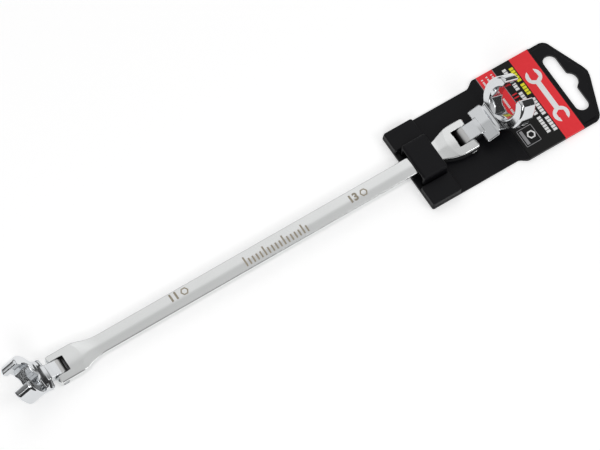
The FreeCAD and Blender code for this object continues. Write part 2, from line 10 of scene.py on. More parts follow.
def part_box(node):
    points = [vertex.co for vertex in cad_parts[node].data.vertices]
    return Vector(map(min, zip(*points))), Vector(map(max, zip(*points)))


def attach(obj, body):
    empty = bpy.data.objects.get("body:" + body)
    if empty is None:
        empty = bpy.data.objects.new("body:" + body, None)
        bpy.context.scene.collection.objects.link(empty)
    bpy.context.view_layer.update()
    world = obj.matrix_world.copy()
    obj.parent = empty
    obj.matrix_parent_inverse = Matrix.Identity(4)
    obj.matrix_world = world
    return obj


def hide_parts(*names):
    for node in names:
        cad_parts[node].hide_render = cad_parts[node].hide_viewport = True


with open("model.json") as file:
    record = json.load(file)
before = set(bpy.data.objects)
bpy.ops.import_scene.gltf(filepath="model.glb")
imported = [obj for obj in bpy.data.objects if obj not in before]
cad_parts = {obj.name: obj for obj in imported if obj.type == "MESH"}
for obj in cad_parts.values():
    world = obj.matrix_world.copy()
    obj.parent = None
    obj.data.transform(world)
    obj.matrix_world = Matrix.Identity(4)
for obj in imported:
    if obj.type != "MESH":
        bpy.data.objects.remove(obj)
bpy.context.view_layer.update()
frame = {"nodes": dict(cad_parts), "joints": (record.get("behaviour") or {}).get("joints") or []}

# Shapes are worked out in millimetres in the space of the wrench, of a head or of the
# hanger, and placed in the row frame in metres.
MM = 0.001


def joint_place(name):
    """Where a joint's axis is, in the row frame."""
    joint = next(one for one in frame["joints"] if one["name"] == name)
    return Vector(joint["pos_m"])


def space(origin, along):
    """Matrix from a millimetre space with +X along a direction in the XZ plane to the row frame."""
    forward = Vector(along).normalized()
    sideways = Vector((0, 1, 0)) * (1 if forward.x > 0 else -1)
    upward = forward.cross(sideways)
    turn = Matrix((forward, sideways, upward)).transposed().to_4x4()
    return Matrix.Translation(origin) @ turn @ Matrix.Scale(MM, 4)


def tilted(direction, degrees):
    """A direction in the XZ plane, raised by some degrees."""
    flat = Vector(direction)
    angle = math.radians(degrees)
    rise = Vector((0, 0, 1)) if abs(flat.z) < 0.5 else Vector((1, 0, 0))
    rise = (rise - flat * rise.dot(flat)).normalized()
    return flat * math.cos(angle) + rise * math.sin(angle)


PIN_13 = joint_place("head_13_hinge")
PIN_11 = joint_place("head_11_hinge")
SHAFT_DIRECTION = (PIN_13 - PIN_11).normalized()
PIN_DISTANCE = (PIN_13 - PIN_11).length / MM
WRENCH = space(PIN_13, SHAFT_DIRECTION)
TRAY_LOW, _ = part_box("hanger_tray")
HANGER = Matrix.Translation((TRAY_LOW.x, 0, TRAY_LOW.z)) @ Matrix.Scale(MM, 4)

# Wrench shaft and yokes, x = 0 at the 13 mm head's pin. A yoke's pin and facing give its place and
# direction along X, half its half width, length how far it reaches back from its tip, flare and ramp
# how long its sides and its thickness take to reach the shaft's, shoulder the rounding of its sides'
# corners, slot, depth and slot_round the slot's width, depth and rounded floor, and hole the pin hole's
# diameter.
YOKE_THICKNESS = 7.2
SHAFT_THICKNESS = 5.6
CROWN_RADIUS = 24.0
SHAFT_HALF = 4.6
EDGE_ROUND = 0.55
SLOT_EDGE_ROUND = 0.3
HOLE_EDGE_ROUND = 0.15
YOKE_BOW = 2.4
YOKE_TIP_ROUND = 2.2
YOKE_ROOT_ROUND = 1.6
YOKES = {
    "13": {
        "pin": 0.0, "facing": 1, "half": 8.15, "length": 13.4, "flare": 5.2, "ramp": 5.0,
        "shoulder": 3.4, "slot": 8.4, "depth": 9.0, "slot_round": 0.5, "hole": 3.4,
    },
    "11": {
        "pin": -PIN_DISTANCE, "facing": -1, "half": 7.3, "length": 15.0, "flare": 6.3, "ramp": 10.0,
        "shoulder": 1.0, "slot": 7.6, "depth": 7.5, "slot_round": 1.3, "hole": 3.0,
    },
}

# Heads, x = 0 at the pin and +X along the tongue. tilt is the head's angle to the shaft in degrees and
# cant the ring's angle to the tongue; along and up place the ring's middle; radius, thick, flats, gap,
# reach and chamfer shape the ring; start, end, half and block the neck block; tongue and hole the hinge.
# FUNNEL_SHARE turns a distance across the funnel into one square to its face.
HEADS = {
    "13": {
        "tilt": 17.0, "cant": 43.0, "along": 25.1, "up": 4.2, "radius": 12.4, "thick": 9.0,
        "flats": 13.1, "gap": 10.6, "reach": 9.3, "chamfer": 0.35,
        "start": 7.0, "end": 13.6, "half": 8.7, "block": 4.4, "tongue": 7.8, "hole": 3.5,
    },
    "11": {
        "tilt": 20.0, "cant": 40.0, "along": 19.2, "up": 3.9, "radius": 10.6, "thick": 8.4,
        "flats": 11.1, "gap": 9.0, "reach": 8.5, "chamfer": -0.4,
        "start": 6.4, "end": 11.0, "half": 7.7, "block": 4.8, "tongue": 7.0, "hole": 3.1,
    },
}
TONGUE_THICKNESS = 6.6
BARREL_END = 1.2
TONGUE_EDGE_ROUND = 0.35
TONGUE_OVERLAP = 1.5
BLOCK_CROWN_RADIUS = 27.0
BLOCK_CORNER_ROUND = 0.7
BLOCK_EDGE_ROUND = 0.6
RING_EDGE_ROUND = 1.2
NECK_FILLET = 2.6
TONGUE_FILLET = 0.7
FUNNEL_SLOPE = 0.714
FUNNEL_SHARE = 0.814
HEXAGON_ROUND = 0.3
BORE_EDGE_ROUND = 0.35
BORE_RIM_ROUND = 0.25
JAW_END_ROUND = 1.3


# ---------------------------------------------------------------- solid shapes as distance fields
# A field is negative inside its shape and gives the distance to the surface in millimetres.

def rounded_and(first, second, radius):
    """What two shapes share, with its edge rounded."""
    across = np.maximum(radius + first, 0)
    up = np.maximum(radius + second, 0)
    return np.minimum(-radius, np.maximum(first, second)) + np.hypot(across, up)


def rounded_or(first, second, radius):
    """Two shapes together, with a hollow fillet between them."""
    across = np.maximum(radius - first, 0)
    up = np.maximum(radius - second, 0)
    return np.maximum(radius, np.minimum(first, second)) - np.hypot(across, up)


def cut_away(shape, tool, radius):
    """A shape without a tool's space, with the cut's edge rounded."""
    return rounded_and(shape, -tool, radius)


def smooth_step(amount):
    """A soft step from 0 to 1."""
    share = np.clip(amount, 0, 1)
    return share * share * (3 - 2 * share)


def slanted_line(x, y, from_x, from_y, to_x, to_y):
    """Distance in the plane from a slanted line, positive on the side away from the axis."""
    run, rise = to_x - from_x, from_y - to_y
    length = math.hypot(run, rise)
    return ((x - from_x) * rise + (y - from_y) * run) / length


def yoke_outline(x, side, yoke):
    """Plan view of one yoke with its flare down to the shaft's width."""
    facing = yoke["facing"]
    ahead = (x - yoke["pin"]) * facing
    tip = YOKE_THICKNESS / 2
    inner = tip - yoke["length"]
    slant = slanted_line(-ahead, side, -inner, yoke["half"], -inner + yoke["flare"], SHAFT_HALF)
    body = rounded_and(side - yoke["half"], slant, yoke["shoulder"])
    return rounded_and(body, ahead - tip, YOKE_TIP_ROUND)


def crown_drop(side, radius):
    """How far a crowned face has fallen at a distance from its middle line."""
    return radius - np.sqrt(radius ** 2 - np.minimum(side, radius / 2) ** 2)


def handle_field(x, y, z):
    """Crowned shaft with a slotted yoke at each end."""
    side = np.abs(y)
    height = np.full_like(x, SHAFT_THICKNESS / 2)
    outline = side - SHAFT_HALF
    for yoke in YOKES.values():
        outline = rounded_or(outline, yoke_outline(x, side, yoke), YOKE_ROOT_ROUND)
        foot = YOKE_THICKNESS / 2 - yoke["length"] + YOKE_BOW * (side / yoke["half"]) ** 2
        fallen = np.clip((foot - (x - yoke["pin"]) * yoke["facing"]) / yoke["ramp"], 0, 1)
        height = height + (YOKE_THICKNESS - SHAFT_THICKNESS) / 2 * (1 - fallen) ** 2
    thickness = np.abs(z) - (height - crown_drop(side, CROWN_RADIUS))
    shape = rounded_and(outline, thickness, EDGE_ROUND)
    for yoke in YOKES.values():
        ahead = (x - yoke["pin"]) * yoke["facing"]
        tip = YOKE_THICKNESS / 2
        ear = np.hypot(np.maximum(ahead, 0), z) - tip
        shape = rounded_and(shape, ear, EDGE_ROUND)
        slot = rounded_and(side - yoke["slot"] / 2, (tip - yoke["depth"]) - ahead, yoke["slot_round"])
        shape = cut_away(shape, slot, SLOT_EDGE_ROUND)
        hole = np.hypot(ahead, z) - yoke["hole"] / 2
        shape = cut_away(shape, hole, HOLE_EDGE_ROUND)
    return shape


def bore_field(head, ring_x, side, ring_z, out):
    """The space in a ring: hexagon with hollow corners, a funnel at both faces, and the pipe's gap."""
    half_flats = head["flats"] / 2
    leaning = np.abs(ring_x) * math.cos(math.radians(30)) + side * math.sin(math.radians(30))
    flats = rounded_and(side - half_flats, leaning - half_flats, HEXAGON_ROUND)
    corner = head["flats"] / math.sqrt(3)
    widening = (np.abs(ring_z) - head["thick"] / 2) * FUNNEL_SLOPE
    funnel = (out - corner - head["chamfer"] - widening) * FUNNEL_SHARE
    gap = np.maximum(side - head["gap"] / 2, -ring_x)
    return rounded_or(rounded_or(flats, funnel, BORE_EDGE_ROUND), gap, BORE_EDGE_ROUND)


def tongue_field(head, x, side, z):
    """The tongue: a barrel round the pin that thins towards the neck block."""
    barrel = TONGUE_THICKNESS / 2
    lean = np.clip(x / head["start"], 0, 1)
    thinning = np.abs(z) - barrel + (barrel - head["block"] / 2) * lean
    profile = np.where(x < 0, np.hypot(x, z) - barrel, thinning)
    profile = np.maximum(profile, x - head["start"] - TONGUE_OVERLAP)
    return rounded_and(profile, side - head["tongue"] / 2, TONGUE_EDGE_ROUND)


def block_field(head, x, side, z):
    """The neck block, with crowned faces."""
    plan = rounded_and(side - head["half"], head["start"] - x, BLOCK_CORNER_ROUND)
    plan = rounded_and(plan, x - head["end"], BLOCK_CORNER_ROUND)
    thickness = np.abs(z) - head["block"] / 2 + crown_drop(side, BLOCK_CROWN_RADIUS)
    return rounded_and(plan, thickness, BLOCK_EDGE_ROUND)


def head_field(head):
    """Field of one flare-nut head: tongue, neck block and open hexagonal ring."""
    cant = math.radians(head["cant"])

    def field(x, y, z):
        side = np.abs(y)
        ring_x = (x - head["along"]) * math.cos(cant) + (z - head["up"]) * math.sin(cant)
        ring_z = (z - head["up"]) * math.cos(cant) - (x - head["along"]) * math.sin(cant)
        out = np.hypot(ring_x, y)
        ring = rounded_and(out - head["radius"], np.abs(ring_z) - head["thick"] / 2, RING_EDGE_ROUND)
        shape = rounded_or(ring, block_field(head, x, side, z), NECK_FILLET)
        shape = rounded_or(shape, tongue_field(head, x, side, z), TONGUE_FILLET)
        shape = cut_away(shape, bore_field(head, ring_x, side, ring_z, out), BORE_RIM_ROUND)
        shape = rounded_and(shape, ring_x - head["reach"], JAW_END_ROUND)
        return cut_away(shape, np.hypot(x, z) - head["hole"] / 2, HOLE_EDGE_ROUND)

    return field


# hanger, x = 0 at its front edge and z = 0 on the floor
TRAY_HALF = 21.0
PANEL_HALF = 23.45
STEP = (45.8, 51.0)
PANEL_END = 90.2
PEAK = 99.5
PEAK_FLAT = 0.25
DECK_TOP = 1.2
PANEL_TOP = 2.1
PANEL_INSET = 2.0
INSET_SLOPE = 0.8
SEAT_TOP = 1.85
SEAT_HALF = 10.35
SEAT_OVERLAP = 1.0
PANEL_OVERLAP = 1.0
WING_TOP = 5.0
WING_LENGTH = 15.5
WING_DRAFT = 0.12
WING_SKIN = 1.6
GROOVE = {"height": 2.2, "below": 0.35, "above": 0.2, "depth": 0.45}
HANG_SLOT = {"centre": 86.7, "radius": 3.4, "length": 32.0, "dome": 4.3, "dome_centre": 88.6}
CLIP = {"start": 2.3, "end": 15.1, "half": 9.9, "wall": 1.8, "bottom": 0.7, "top": 9.6}
LABEL = {"start": 51.6, "end": 81.6, "skirt": 0.5, "thickness": 0.3, "corner": 0.45}
FIT_GAP = 0.1

# how far the hanger's and the clip's corners and edges are rounded
SHOULDER_ROUND = 2.6
PEAK_ROUND = 1.2
FRONT_ROUND = 0.9
WING_ROUND = 1.0
WING_EDGE_ROUND = 0.55
CORE_ROUND = 0.5
MOULDED_ROUND = 0.3
PANEL_EDGE_ROUND = 0.35
CORE_RIM_ROUND = 0.2
POCKET_ROUND = 0.15
HANG_SLOT_ROUND = 0.35
DOME_FILLET = 0.8
UNDER_EDGE_ROUND = 0.25
GROOVE_ROUND = 0.12
RECESS_ROUND = 0.08
CLIP_CORNER_ROUND = 1.3
CLIP_TOP_ROUND = 1.5
CLIP_INNER_ROUND = 1.2
CLIP_RIM_ROUND = 0.35
CLIP_FOOT_ROUND = 0.2


def slab(value, low, high):
    """Distance to a stretch from low to high."""
    return np.abs(value - (low + high) / 2) - (high - low) / 2


def hang_slot_field(x, y):
    """Rounded slot with a dome."""
    slot = HANG_SLOT
    end = slot["length"] / 2 - slot["radius"]
    bar = np.hypot(x - slot["centre"], np.maximum(np.abs(y) - end, 0)) - slot["radius"]
    dome = np.hypot(x - slot["dome_centre"], y) - slot["dome"]
    return rounded_or(bar, dome, DOME_FILLET)


def sheet_field(x, side, z):
    """The hanger's flat sheet: deck, step up to the panel, and the roof-shaped end."""
    rise = smooth_step((x - STEP[0]) / (STEP[1] - STEP[0]))
    half = TRAY_HALF + (PANEL_HALF - TRAY_HALF) * rise
    roof = slanted_line(x, side, PANEL_END, PANEL_HALF, PEAK, 0.0)
    outline = rounded_and(side - half, roof, SHOULDER_ROUND)
    outline = rounded_and(outline, x - PEAK + PEAK_FLAT, PEAK_ROUND)
    outline = rounded_and(outline, -x, FRONT_ROUND)
    deck = rounded_and(outline, z - DECK_TOP, MOULDED_ROUND)
    inset = PANEL_INSET * smooth_step((x - LABEL["end"]) / INSET_SLOPE)
    below = DECK_TOP - FIT_GAP
    panel = rounded_and(outline + inset, z - below - (PANEL_TOP - below) * rise, PANEL_EDGE_ROUND)
    return np.minimum(deck, np.maximum(panel, STEP[0] - PANEL_OVERLAP - x))


def seat_field(x, side, z):
    """The raised seat under the shaft, and the wing on each side of it."""
    plan = rounded_and(slab(x, 0, WING_LENGTH), side - SEAT_HALF - SEAT_OVERLAP, MOULDED_ROUND)
    seat = rounded_and(plan, z - SEAT_TOP, MOULDED_ROUND)
    draft = WING_DRAFT * np.maximum(z - GROOVE["height"], 0)
    plan = rounded_and(slab(x, draft, WING_LENGTH), slab(side, SEAT_HALF, TRAY_HALF - draft), WING_ROUND)
    wing = rounded_and(plan, z - WING_TOP, WING_EDGE_ROUND)
    return np.minimum(seat, wing)


def wing_core_field(x, side, z):
    """The hollow inside a wing."""
    along = slab(x, WING_SKIN, WING_LENGTH - WING_SKIN)
    across = slab(side, SEAT_HALF + WING_SKIN, TRAY_HALF - WING_SKIN)
    return rounded_and(rounded_and(along, across, CORE_ROUND), z - WING_TOP + WING_SKIN, CORE_ROUND)


def groove_field(x, side, z):
    """The groove round the wings' outside."""
    height = slab(z, GROOVE["height"] - GROOVE["below"], GROOVE["height"] + GROOVE["above"])
    rim = np.maximum(side - TRAY_HALF, -x)
    return np.maximum(np.maximum(height, -(rim + GROOVE["depth"])), x - WING_LENGTH)


def clip_pocket_field(x, side, z):
    """The two pockets that the clip's legs stand in."""
    leg = slab(side, CLIP["half"] - CLIP["wall"] - FIT_GAP, CLIP["half"] + FIT_GAP)
    along = slab(x, CLIP["start"] - FIT_GAP, CLIP["end"] + FIT_GAP)
    return np.maximum(np.maximum(leg, along), CLIP["bottom"] - FIT_GAP - z)


def label_recess_field(x, side, z):
    """The space that the folded label takes up, over the panel and down its sides."""
    edge = PANEL_HALF - LABEL["thickness"] - FIT_GAP
    film = np.minimum(PANEL_TOP - LABEL["thickness"] - z, edge - side)
    along = slab(x, LABEL["start"] - FIT_GAP, LABEL["end"] + FIT_GAP)
    return np.maximum(np.maximum(film, along), LABEL["skirt"] - FIT_GAP - z)


def tray_field(x, y, z):
    """Moulded hanger: sheet, seat and wings, less its hollows, pockets, slot and label recess."""
    side = np.abs(y)
    shape = np.minimum(sheet_field(x, side, z), seat_field(x, side, z))
    shape = cut_away(shape, groove_field(x, side, z), GROOVE_ROUND)
    shape = cut_away(shape, wing_core_field(x, side, z), CORE_RIM_ROUND)
    shape = cut_away(shape, clip_pocket_field(x, side, z), POCKET_ROUND)
    shape = cut_away(shape, hang_slot_field(x, y), HANG_SLOT_ROUND)
    shape = cut_away(shape, label_recess_field(x, side, z), RECESS_ROUND)
    return rounded_and(shape, -z, UNDER_EDGE_ROUND)


def clip_field(x, y, z):
    """U-shaped clip over the shaft."""
    side = np.abs(y)
    plan = rounded_and(slab(x, CLIP["start"], CLIP["end"]), side - CLIP["half"], CLIP_CORNER_ROUND)
    body = rounded_and(plan, z - CLIP["top"], CLIP_TOP_ROUND)
    body = rounded_and(body, CLIP["bottom"] - z, CLIP_FOOT_ROUND)
    inside = side - CLIP["half"] + CLIP["wall"]
    opening = rounded_and(inside, z - CLIP["top"] + CLIP["wall"], CLIP_INNER_ROUND)
    return cut_away(body, opening, CLIP_RIM_ROUND)


# ---------------------------------------------------------------- meshing a field

# limits on one move of a point onto a surface
LEAST_STEEPNESS = 0.3
LONGEST_MOVE = 0.2

EDGES = [(axis, first, second) for axis in range(3) for first in (0, 1) for second in (0, 1)]


def part_of(values, axis, first, second, along):
    """The values at one corner of every cell."""
    slices = [None, None, None]
    others = [one for one in range(3) if one != axis]
    slices[axis] = along
    for which, offset in zip(others, (first, second)):
        count = values.shape[which]
        slices[which] = slice(offset, count - 1 + offset)
    return values[tuple(slices)]


def surface_net(field, grids):
    """Points and quads of a field's surface on a grid whose lines needn't be evenly spaced."""
    where = np.meshgrid(*grids, indexing="ij")
    values = field(*where).astype(np.float32)
    inside = values < 0
    shape = tuple(count - 1 for count in values.shape)
    total = [np.zeros(shape, np.float32) for _ in range(3)]
    crossings = np.zeros(shape, np.float32)
    for axis, first, second in EDGES:
        count = values.shape[axis]
        low, high = slice(0, count - 1), slice(1, count)
        start = part_of(values, axis, first, second, low)
        finish = part_of(values, axis, first, second, high)
        crossed = (start < 0) != (finish < 0)
        share = np.where(crossed, start / np.where(crossed, start - finish, 1), 0)
        for one in range(3):
            begin = part_of(where[one], axis, first, second, low)
            end = part_of(where[one], axis, first, second, high)
            total[one] += np.where(crossed, begin + (end - begin) * share, 0)
        crossings += crossed
    used = crossings > 0
    number = np.full(shape, -1, np.int64)
    number[used] = np.arange(int(used.sum()))
    points = np.stack([one[used] / crossings[used] for one in total], 1)
    quads = [quads_across(inside, number, axis) for axis in range(3)]
    return points.astype(float), np.concatenate(quads)


def quads_across(inside, number, axis):
    """One quad for every grid line of an axis that the surface crosses."""
    after, last = (axis + 1) % 3, (axis + 2) % 3
    order = (axis, after, last)
    solid = inside.transpose(order)
    cell = number.transpose(order)
    starts = solid[:-1, 1:-1, 1:-1]
    ends = solid[1:, 1:-1, 1:-1]
    found = np.argwhere(starts != ends)
    along, over, up = found[:, 0], found[:, 1], found[:, 2]
    corners = np.stack([
        cell[along, over, up],
        cell[along, over + 1, up],
        cell[along, over + 1, up + 1],
        cell[along, over, up + 1],
    ], 1)
    outward = starts[along, over, up]
    return np.where(outward[:, None], corners, corners[:, ::-1])


def slope(field, points, step=0.02):
    """Unit outward normals of a field, and how steep the field is."""
    columns = []
    for axis in range(3):
        ahead, behind = points.copy(), points.copy()
        ahead[:, axis] += step
        behind[:, axis] -= step
        columns.append(field(*ahead.T) - field(*behind.T))
    normals = np.stack(columns, 1)
    size = np.maximum(np.linalg.norm(normals, axis=1, keepdims=True), 1e-9)
    return normals / size, size[:, 0] / (2 * step)


def settle(field, points, rounds=4):
    """Move points onto the field's surface."""
    for _ in range(rounds):
        normals, steepness = slope(field, points)
        distance = field(*points.T) / np.maximum(steepness, LEAST_STEEPNESS)
        points = points - normals * np.clip(distance, -LONGEST_MOVE, LONGEST_MOVE)[:, None]
    return points


def link(name, mesh):
    """Put a mesh into the scene as an object."""
    piece = bpy.data.objects.new(name, mesh)
    bpy.context.scene.collection.objects.link(piece)
    return piece


def evaluated_mesh(piece):
    """A new mesh of an object with its modifiers applied."""
    return bpy.data.meshes.new_from_object(piece.evaluated_get(bpy.context.evaluated_depsgraph_get()))


def cut_across(mesh, at):
    """Add edges round a mesh where it crosses a plane of constant X."""
    shape = bmesh.new()
    shape.from_mesh(mesh)
    everything = shape.verts[:] + shape.edges[:] + shape.faces[:]
    bmesh.ops.bisect_plane(shape, geom=everything, plane_co=(at, 0, 0), plane_no=(1, 0, 0))
    bmesh.ops.triangulate(shape, faces=shape.faces[:])
    shape.to_mesh(mesh)
    shape.free()


def solid_piece(name, field, grids, place, keep, cut_at=None, whole=None):
    """A smooth closed mesh of a field, thinned to a share of its faces where it is flat.

    With cut_at, edges run round the piece at that X, so that its finish can change there. With
    whole, the faces between those two X stay as they are.
    """
    points, quads = surface_net(field, grids)
    points = settle(field, points)
    mesh = bpy.data.meshes.new(name)
    mesh.from_pydata(points.tolist(), [], quads.tolist())
    piece = link(name, mesh)
    thin = piece.modifiers.new("thin", "DECIMATE")
    thin.ratio = keep
    if whole:
        outside = np.flatnonzero((points[:, 0] < whole[0]) | (points[:, 0] > whole[1]))
        piece.vertex_groups.new(name="thinned").add(outside.tolist(), 1.0, "REPLACE")
        thin.vertex_group = "thinned"
    thinned = evaluated_mesh(piece)
    piece.modifiers.clear()
    piece.data = thinned
    thinned.name = name
    bpy.data.meshes.remove(mesh)
    if cut_at is not None:
        cut_across(thinned, cut_at)
    spots = np.zeros(len(thinned.vertices) * 3)
    thinned.vertices.foreach_get("co", spots)
    spots = settle(field, spots.reshape(-1, 3), 2)
    normals, _ = slope(field, spots)
    turn = np.array(place.to_3x3()) / MM
    moved = spots @ np.array(place.to_3x3()).T + np.array(place.translation)
    thinned.vertices.foreach_set("co", moved.astype(np.float32).ravel())
    thinned.shade_smooth()
    thinned.normals_split_custom_set_from_vertices((normals @ turn.T).tolist())
    thinned.update()
    return piece


# How far past a slot's walls and floor its painted shade is looked for, and how far inside the yoke's
# faces and tip it stops; and how far past the barrel's surface its turned finish is looked for.
SLOT_REACH = {"side": 0.05, "floor": 0.2, "face": 0.3, "tip": 0.6}
BARREL_REACH = 0.3


def second_finish(piece, place, chosen, material):
    """Give the faces that a test picks, in the piece's own space, another material."""
    faces = piece.data.polygons
    centres = np.zeros(len(faces) * 3)
    faces.foreach_get("center", centres)
    back = np.array(place.inverted())
    spots = centres.reshape(-1, 3) @ back[:3, :3].T + back[:3, 3]
    piece.data.materials.append(material)
    faces.foreach_set("material_index", chosen(*spots.T).astype(np.int32))
    piece.data.update()


def in_painted_slot_shade(x, y, z):
    """True on the walls and floor of the yokes' slots, short of their rims, where their shade is painted.
    """
    found = np.zeros(len(x), bool)
    tip = YOKE_THICKNESS / 2
    for yoke in YOKES.values():
        ahead = (x - yoke["pin"]) * yoke["facing"]
        beside = np.abs(y) < yoke["slot"] / 2 + SLOT_REACH["side"]
        within = np.abs(z) < tip - SLOT_REACH["face"]
        deep = (ahead > tip - yoke["depth"] - SLOT_REACH["floor"]) & (ahead < tip - SLOT_REACH["tip"])
        found |= beside & within & deep
    return found


def on_barrel(x, y, z):
    """True on the turned barrel at a head's hinge."""
    return (x < BARREL_END) & (np.hypot(x, z) < TONGUE_THICKNESS / 2 + BARREL_REACH)


def grid_line(*stretches):
    """Grid positions through (from, to, spacing) stretches."""
    parts = [np.arange(start, finish, spacing) for start, finish, spacing in stretches]
    return np.concatenate(parts)


# Grids reach a little past their shapes and are spaced at so many times FINE; a head's grid reaches below
# its pin by a share of its radius. Even stretches, such as the shaft's between its yokes, are coarse.
FINE = 0.17
COARSE = 1.2
SHAFT_SPACING = 4.0
SHAFT_EVEN = (28.0, 26.0)
SHAFT_GRID = {"past_pin": 5.0, "across": (-9.0, 9.2), "up": (-4.2, 4.3), "spacing": 1.2}
HEAD_GRID = {"before": 0.8, "past": 1.0, "below": 0.75}
TRAY_GRID = {"before": 0.9, "past": 1.0, "up": 0.6, "spacing": 1.6, "flatter": 0.65}
TRAY_EVEN = ((17.0, 44.0), (53.5, 79.5))
CLIP_GRID = {"before": 0.6, "past": 0.8, "spacing": 1.3}

# share of the faces that stays after thinning
KEPT_FACES = {"shaft": 0.5, "head": 0.45, "tray": 0.4, "clip": 0.35}


def make_handle():
    """Chrome shaft with its two yokes."""
    grid = SHAFT_GRID
    spacing = FINE * grid["spacing"]
    small = YOKES["11"]["pin"]
    even = small + SHAFT_EVEN[0], -SHAFT_EVEN[1]
    along = grid_line(
        (small - grid["past_pin"], even[0], FINE), (*even, SHAFT_SPACING), (even[1], grid["past_pin"], FINE)
    )
    grids = along, grid_line((*grid["across"], spacing)), grid_line((*grid["up"], spacing))
    return solid_piece("wrench_shaft", handle_field, grids, WRENCH, KEPT_FACES["shaft"], whole=even)


def make_head(size):
    """One chrome flare-nut head, and its place."""
    head = HEADS[size]
    yoke = YOKES[size]
    origin = WRENCH @ Vector((yoke["pin"], 0, 0))
    place = space(origin, tilted(SHAFT_DIRECTION * yoke["facing"], head["tilt"]))
    before, past, radius = HEAD_GRID["before"], HEAD_GRID["past"], head["radius"]
    grids = (
        grid_line((-TONGUE_THICKNESS / 2 - before, head["along"] + radius + past, FINE)),
        grid_line((-radius - before, radius + past, FINE)),
        grid_line((-radius * HEAD_GRID["below"] - past, head["up"] + radius + past, FINE)),
    )
    name = "flare_head_" + size
    return solid_piece(name, head_field(head), grids, place, KEPT_FACES["head"], BARREL_END), place


def make_tray():
    """Moulded black tray of the hanger."""
    before, past, up = TRAY_GRID["before"], TRAY_GRID["past"], TRAY_GRID["up"]
    fine = FINE * TRAY_GRID["spacing"]
    first, second = TRAY_EVEN
    along = grid_line(
        (-before, first[0], fine), (*first, COARSE), (first[1], second[0], fine), (*second, COARSE),
        (second[1], PEAK + past, fine),
    )
    across = grid_line((-PANEL_HALF - before, PANEL_HALF + past, fine))
    upward = grid_line((-up, WING_TOP + up, fine * TRAY_GRID["flatter"]))
    return solid_piece("hanger_body", tray_field, (along, across, upward), HANGER, KEPT_FACES["tray"])


def make_clip():
    """Black clip that holds the shaft on the hanger."""
    before, past = CLIP_GRID["before"], CLIP_GRID["past"]
    spacing = FINE * CLIP_GRID["spacing"]
    grids = (
        grid_line((CLIP["start"] - before, CLIP["end"] + past, spacing)),
        grid_line((-CLIP["half"] - before, CLIP["half"] + past, spacing)),
        grid_line((CLIP["bottom"] - before, CLIP["top"] + past, spacing)),
    )
    return solid_piece("shaft_clip", clip_field, grids, HANGER, KEPT_FACES["clip"])


# ---------------------------------------------------------------- label and marks

# Prints lie in layers one step apart, the top one level with the panel's top, in the hanger's space. A
# line of print is its first word's start in Y, its X from and to, and its words' counts of letters.
PRINT_STEP = 0.02
INK_DEPTH = 0.035
FOLD_STEPS = 5
STRIPE = (70.64, 80.82)
BLOCK = {"along": (52.6, 61.2), "edge": -6.0}
BLOCK_LINES = {"width": 0.25, "before": 0.3, "after": 0.05}
FILM_SHARE = 1.8
SIGN = {"x": 75.8, "y": -1.0, "length": 30.0, "radius": 3.9, "inner": 0.58, "mouth": 3.4, "bar": 2.6}
SIGN_STEPS = 14
YELLOW_LINES = [(19.3, (68.1, 70.1), (5, 4))]
WHITE_LINES = [
    (1.2, (68.1, 70.1), (6, 5)),
    (20.2, (64.9, 66.8), (8, 5, 3, 6)),
    (21.0, (54.0, 54.9), (1, 4, 3)),
    (21.3, (56.6, 57.5), (1, 2, 3)),
    (21.3, (59.2, 60.1), (1, 5, 2)),
    (8.0, (57.0, 58.0), (7, 4)),
]
LETTER_PITCH = 0.82
LETTER_WIDTH = 0.8
WORD_GAP = 0.7
BADGE = {"along": (53.0, 60.9), "across": (-18.2, -9.0), "line": 0.3, "margin": 0.9, "bar": 1.5}
NUT = {"centre": (58.2, -13.6), "radius": 2.2, "width": 0.8, "depth": 0.05}
SIZES = {"text": "11 x 13", "height": 2.4, "x": 61.9, "y": 8.0, "depth": 0.03}

# marks etched into the shaft's upper face, in the wrench's space
ETCHED_SIZES = {"13": (-62.8, -1.4), "11": (-155.8, 0.0)}
ETCHED_HEIGHT = 3.5
ETCHED_NUT = {"centre": (8.0, 1.55), "radius": 2.0, "width": 0.7}
ETCH_BELOW = 0.04
ETCH_ABOVE = 0.012
ETCH_CUTS = [0.8 * step for step in range(-5, 6)]
TICKS = {
    "start": -118.0, "pitch": 2.0, "width": 0.8, "count": 17, "low": -3.0, "short": 0.2, "long": 1.8,
    "every": 5,
}

# Blender's own font: how high its digits stand at size 1, and how much bolder they are made
DIGIT_HEIGHT = 0.69
DIGIT_BOLDNESS = 0.045


def closed_piece(name, shape, place):
    """Place a closed shape as a new piece."""
    bmesh.ops.recalc_face_normals(shape, faces=shape.faces[:])
    shape.transform(place)
    mesh = bpy.data.meshes.new(name)
    shape.to_mesh(mesh)
    shape.free()
    return link(name, mesh)


def raise_faces(name, shape, place, levels):
    """Turn flat faces into a closed solid between two levels that depend on the place."""
    bmesh.ops.remove_doubles(shape, verts=shape.verts, dist=1e-4)
    made = bmesh.ops.extrude_face_region(shape, geom=shape.faces[:])
    upper = {one for one in made["geom"] if isinstance(one, bmesh.types.BMVert)}
    for vertex in shape.verts:
        low, high = levels(vertex.co.x, vertex.co.y)
        vertex.co.z = high if vertex in upper else low
    return closed_piece(name, shape, place)


def fold_line(inset, low, high):
    """Points across the label's outside; low or high as None folds down over that long edge."""
    top = PANEL_TOP - inset
    edge = PANEL_HALF - inset
    corner = LABEL["corner"] - inset
    folded = [(edge, LABEL["skirt"] + PRINT_STEP)]
    for step in range(FOLD_STEPS + 1):
        turn = math.pi / 2 * step / FOLD_STEPS
        folded.append((edge - corner + corner * math.cos(turn), top - corner + corner * math.sin(turn)))
    left = folded if high is None else [(high, top)]
    right = [(-across, up) for across, up in reversed(folded)] if low is None else [(low, top)]
    return left + right


